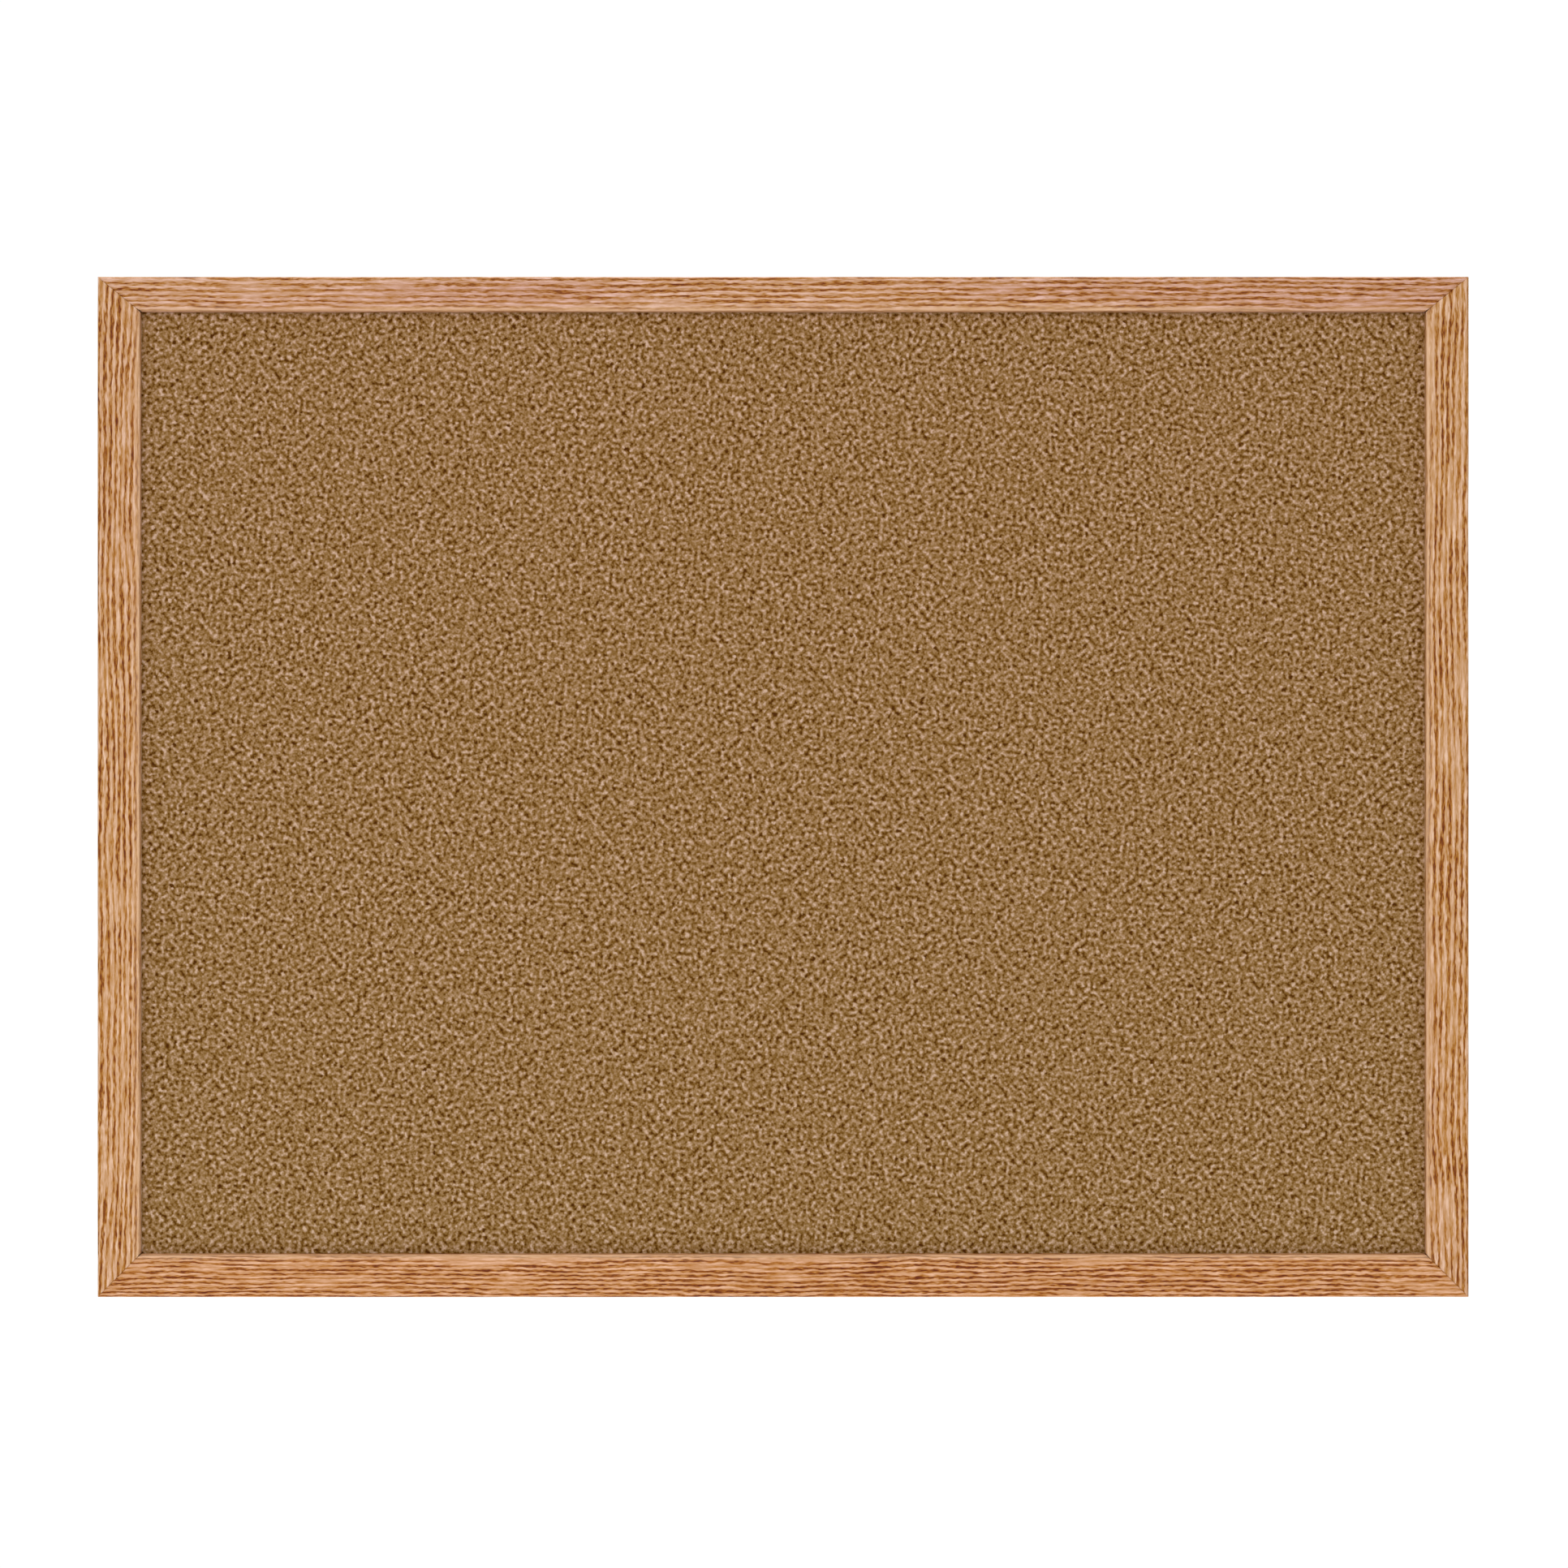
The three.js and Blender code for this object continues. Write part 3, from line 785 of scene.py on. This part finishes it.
def ring_centreline(half):
    """The D of a ring's wire from one end of its butt joint to the other, as (x, z) from its hinge."""
    outline = [(RING_BUTT, 0.0)]

    def arc(cx, cz, radius, start, end, steps):
        for i in range(steps + 1):
            angle = start + (end - start) * i / steps
            outline.append((cx + radius * math.cos(angle), cz + radius * math.sin(angle)))

    arc(half - RING_CORNER, -RING_CORNER, RING_CORNER, math.pi / 2, 0, 10)
    arc(0, half - RING_DROP, half, 0, -math.pi, 56)
    arc(RING_CORNER - half, -RING_CORNER, RING_CORNER, math.pi, math.pi / 2, 10)
    outline.append((-RING_BUTT, 0.0))
    return np.array(outline)


def wire_ring(side, material):
    """The D-shaped ring, swept round its centreline in the plane that it hangs in."""
    low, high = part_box(f"hanger_ring_{side}")
    pivot = next(j["pos_m"] for j in frame["joints"] if j["name"] == f"ring_{side}_swing")
    line = ring_centreline((high.x - low.x) / 2 - WIRE_RADIUS)
    tangent = np.gradient(line, axis=0)
    tangent /= np.linalg.norm(tangent, axis=1)[:, None]
    count = 20
    vertices = []
    for (x, z), (tx, tz) in zip(line, tangent):
        for angle in np.arange(count) * 2 * math.pi / count:
            sideways = WIRE_RADIUS * math.cos(angle)
            out = WIRE_RADIUS * math.sin(angle)
            px = x - tz * sideways
            pz = z + tx * sideways
            vertices.append((
                pivot[0] + px,
                pivot[1] + out * math.cos(RING_TILT) - pz * math.sin(RING_TILT),
                pivot[2] + out * math.sin(RING_TILT) + pz * math.cos(RING_TILT),
            ))
    faces = tube_faces(len(line), count)
    piece = piece_from(f"hanger_ring_{side}_wire", vertices, faces, material, 60)
    make_outward(piece.data)
    return stands_for(piece, f"ring_{side}", [f"hanger_ring_{side}"])


def turned_piece(name, node, profile, material):
    """A round piece about the Y axis through a node's middle, with its outline as [(radius, y), ...]."""
    low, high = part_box(node)
    cx = (low.x + high.x) / 2
    cz = (low.z + high.z) / 2
    steps = 64
    made = bmesh.new()
    rings = []
    for radius, y in profile:
        angles = [2 * math.pi * i / steps for i in range(steps if radius else 1)]
        rings.append(
            [made.verts.new((cx + radius * math.cos(a), y, cz + radius * math.sin(a))) for a in angles]
        )
    for near, far in zip(rings, rings[1:]):
        for i in range(steps):
            j = (i + 1) % steps
            corners = [near[i % len(near)], near[j % len(near)], far[j % len(far)], far[i % len(far)]]
            made.faces.new(list(dict.fromkeys(corners)))
    bmesh.ops.recalc_face_normals(made, faces=made.faces)
    mesh = bpy.data.meshes.new(name)
    made.to_mesh(mesh)
    made.free()
    mesh.materials.append(material)
    shade_smooth(mesh, 45)
    piece = bpy.data.objects.new(name, mesh)
    bpy.context.scene.collection.objects.link(piece)
    return stands_for(piece, nodes=[node])


def bumper(side, material):
    """A moulded rubber disc with a domed rim, a flat face and a small sink mark in its middle."""
    node = f"wall_bumper_{side}"
    low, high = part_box(node)
    radius = (high.x - low.x) / 2
    flat_radius = 3.8 * MM
    dome = radius - flat_radius
    rim = [
        (flat_radius + dome * math.sin(a), high.y - dome * 2.2 * (1 - math.cos(a)))
        for a in np.linspace(0, math.pi / 2, 12)
    ]
    profile = [(0, high.y - 0.25 * MM), (0.8 * MM, high.y - 0.2 * MM), (1.5 * MM, high.y), (3 * MM, high.y)]
    profile += rim + [(radius, low.y + 0.2 * MM), (radius - 0.2 * MM, low.y), (0, low.y)]
    return turned_piece(f"bumper_{side}_rubber", node, profile, material)


def hardware():
    """Everything of metal and rubber: hangers, bumpers, V-nails and retaining points."""
    zinc = steel_material(
        "zinc_plated_steel", linear(212, 213, 214), linear(160, 163, 166), (1, 1, 0.12), 0.2, 0.5
    )
    blued = steel_material("blued_steel", linear(128, 131, 138), linear(84, 87, 95), (0.15, 1, 1), 0.3, 0.6)
    rubber = rubber_material()
    for side in ("left", "right"):
        refined(f"hanger_strap_{side}", zinc, STRAP_EDGE)
        screw = refined(f"hanger_screw_{side}", zinc, SCREW_EDGE)
        move_vertices(screw, (0, -SCREW_PULL, 0))
        wire_ring(side, zinc)
        bumper(side, rubber)
    for node in FASTENERS:
        if not node.startswith("hanger_screw"):
            refined(node, blued, FASTENER_EDGE)


# ---------------------------------------------------------------- floor, lights and camera


def floor():
    corners = [(x * FLOOR_HALF, y * FLOOR_HALF, FLOOR_Z) for x, y in ((-1, -1), (1, -1), (1, 1), (-1, 1))]
    material, tree, shader = new_material("pale_floor", Roughness=0.8)
    shade = noise(tree, millimetres(tree), 0.02, 2.0)
    colour = colour_ramp(tree, shade, [(0.3, linear(244, 244, 243)), (0.7, linear(248, 248, 248))])
    tree.links.new(colour, shader.inputs["Base Color"])
    piece_from("floor", corners, [(0, 1, 2, 3)], material)


def area_light(name, place, target, size, watts):
    lamp = bpy.data.lights.new(name, "AREA")
    lamp.shape = "DISK"
    lamp.size = size
    lamp.energy = watts
    made = bpy.data.objects.new(name, lamp)
    made.location = place
    made.rotation_euler = (Vector(target) - Vector(place)).to_track_quat("-Z", "Y").to_euler()
    bpy.context.scene.collection.objects.link(made)


def white_world():
    """White surroundings that the camera sees at full white and the board is lit by more softly."""
    world = bpy.data.worlds.new("white_studio")
    world.use_nodes = True
    tree = world.node_tree
    background = tree.nodes["Background"]
    background.inputs["Color"].default_value = (1, 1, 1, 1)
    seen = add(tree, "ShaderNodeLightPath").outputs["Is Camera Ray"]
    strength = calculate(tree, "MULTIPLY_ADD", seen, BACKDROP_STRENGTH - FILL_STRENGTH, FILL_STRENGTH)
    tree.links.new(strength, background.inputs["Strength"])
    bpy.context.scene.world = world


def studio():
    floor()
    for name, (place, target, size, watts) in LAMPS.items():
        area_light(name, place, target, size, watts)
    white_world()
    bpy.context.scene.view_settings.view_transform = "Standard"


def camera():
    """Square on to the board, far enough away to look almost flat, a hair above and right of its middle."""
    data = bpy.data.cameras.new("camera")
    data.lens = LENS
    data.sensor_width = SENSOR
    made = bpy.data.objects.new("camera", data)
    made.location = (CAMERA_X, FRONT_Y - WIDTH_SEEN * LENS / SENSOR, CAMERA_Z)
    made.rotation_euler = (math.pi / 2, 0, 0)
    bpy.context.scene.collection.objects.link(made)
    bpy.context.scene.camera = made


# ---------------------------------------------------------------- build

camera()
slots = fastener_cutters()
for number in range(len(SIDES)):
    oak_moulding(number, slots)
bpy.data.objects.remove(slots)
panel()
hardware()
studio()
